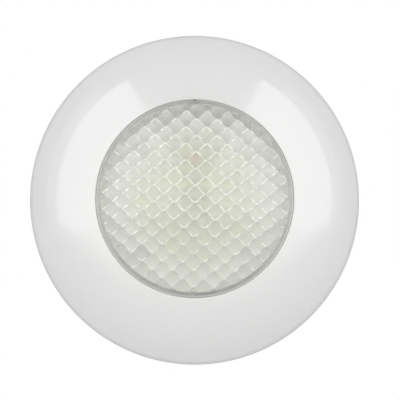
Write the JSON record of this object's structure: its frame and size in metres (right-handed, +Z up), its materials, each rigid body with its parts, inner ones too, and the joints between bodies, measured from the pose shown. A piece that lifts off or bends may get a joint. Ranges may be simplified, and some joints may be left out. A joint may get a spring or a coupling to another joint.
{
  "type": "underwater pool light",
  "caption": "Round surface-mounted underwater light: convex glossy white rim around a domed lens with diamond prisms, LED board, sealed housing, cable gland and wall bracket.",
  "frame": {"origin": "centre of the bracket's wall-screw circle, on the pool wall", "axes": "-Y points out of the wall towards the viewer, +Y into the wall, +Z up, +X to the right seen from the front"},
  "size_m": [0.23, 0.0729, 0.23],
  "materials": {
    "rim_plastic": "high gloss, UV-stable",
    "lens_plastic": "clear moulded polycarbonate",
    "seal_rubber": "soft silicone",
    "clamp_plastic": "glass-filled, fine grain",
    "housing_plastic": "satin moulded",
    "stainless": "passivated",
    "brass": "knurled",
    "spreader_metal": "milled",
    "pad_silicone": "soft filled silicone",
    "led_board_mask": "white solder mask",
    "led_case": "moulded white",
    "phosphor": "translucent fill",
    "reflector_plastic": "bright white",
    "lead_sleeve": "silicone sleeve",
    "driver_mask": "green solder mask",
    "ferrite": "sintered",
    "can_metal": "drawn can",
    "chip_epoxy": "moulded epoxy",
    "terminal_plastic": "moulded",
    "gland_nylon": "moulded nylon",
    "bush_rubber": "soft",
    "bracket_plastic": "satin moulded"
  },
  "bodies": {
    "wall_bracket": {"mounting_bracket": "bracket_plastic", "bracket_clips": "stainless", "clip_rivets": "stainless"},
    "light_head": {"lens": "lens_plastic", "lens_seal": "seal_rubber", "clamp_ring": "clamp_plastic", "clamp_screws": "stainless", "threaded_inserts": "brass", "housing_shell": "housing_plastic", "heat_spreader": "spreader_metal", "spreader_screws": "stainless", "thermal_pad": "pad_silicone", "led_board": "led_board_mask", "led_board_screws": "stainless", "led_packages": "led_case", "led_phosphor": "phosphor", "reflector_dish": "reflector_plastic", "led_leads": "lead_sleeve", "driver_board": "driver_mask", "driver_screws": "stainless", "driver_inductors": "ferrite", "driver_capacitors": "can_metal", "driver_chips": "chip_epoxy", "terminal_block": "terminal_plastic", "terminal_screws": "stainless", "gland_body": "gland_nylon", "gland_seal": "seal_rubber", "gland_lock_nut": "gland_nylon", "gland_bush": "bush_rubber"},
    "rim": {"front_rim": "rim_plastic"},
    "slip_ring": {"gland_slip_ring": "gland_nylon"},
    "nut": {"gland_nut": "gland_nylon"}
  },
  "joints": [
    {"name": "head_pull", "type": "slide", "parent": "wall_bracket", "child": "light_head", "axis": [0, -1, 0], "range_m": [0, 0.1], "deforming": ["bracket_clips"]},
    {"name": "rim_twist", "type": "hinge", "parent": "light_head", "child": "rim", "pos_m": [0, -0.02, 0], "axis": [0, -1, 0], "range_deg": [0, 24]},
    {"name": "gland_slide", "type": "slide", "parent": "light_head", "child": "slip_ring", "axis": [0, 1, 0], "range_m": [0, 0.003]},
    {"name": "gland_nut_turn", "type": "hinge", "parent": "slip_ring", "child": "nut", "pos_m": [0, 0.004, 0], "axis": [0, 1, 0], "range_deg": [0, 720]}
  ],
  "couplings": [
    {"joint": "gland_slide", "follows": "gland_nut_turn", "m_per_rad": 0.00023873}
  ]
}
